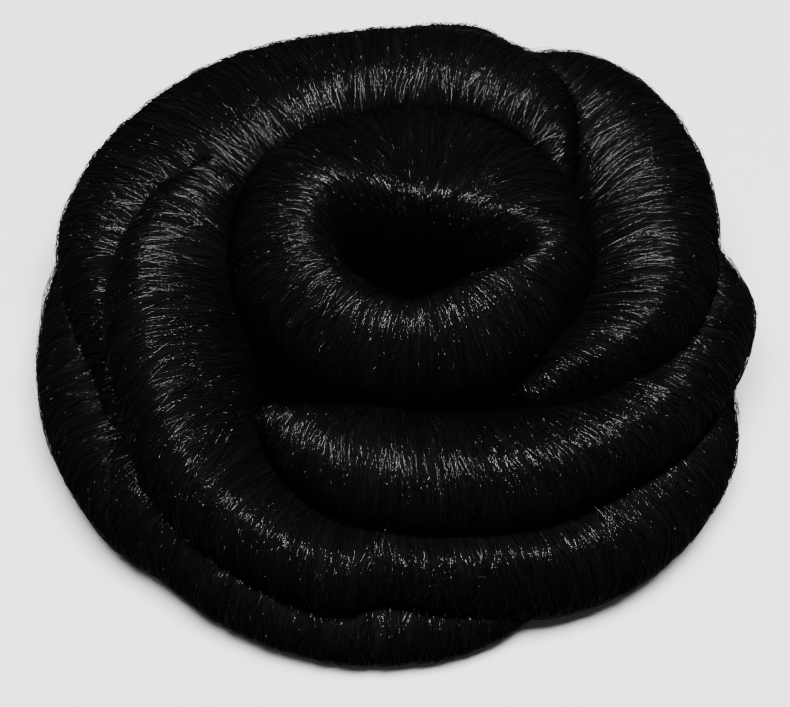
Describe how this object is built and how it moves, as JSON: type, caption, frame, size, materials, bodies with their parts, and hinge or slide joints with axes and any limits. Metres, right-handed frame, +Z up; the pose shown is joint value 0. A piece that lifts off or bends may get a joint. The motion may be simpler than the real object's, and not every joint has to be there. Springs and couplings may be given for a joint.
{
  "type": "top knot hairpiece",
  "caption": "Ready-made bun of dark false hair: rolls wound in a spiral round an open middle, on a plain core with a flat underside.",
  "frame": {"origin": "middle of the flat base, on the surface that the hairpiece rests on", "axes": "+Z up through the open middle of the bun, -Y towards the side nearest the viewer in the picture, +X to the right"},
  "size_m": [0.1096, 0.1059, 0.0456],
  "materials": {
    "hair": "glossy blue-black synthetic hair, strands laid across each roll",
    "padding": "matt black hair padding"
  },
  "bodies": {
    "root": {"core_pad": "padding", "centre_roll": "hair", "right_roll": "hair", "back_roll": "hair", "left_roll": "hair", "front_roll": "hair"}
  },
  "joints": []
}
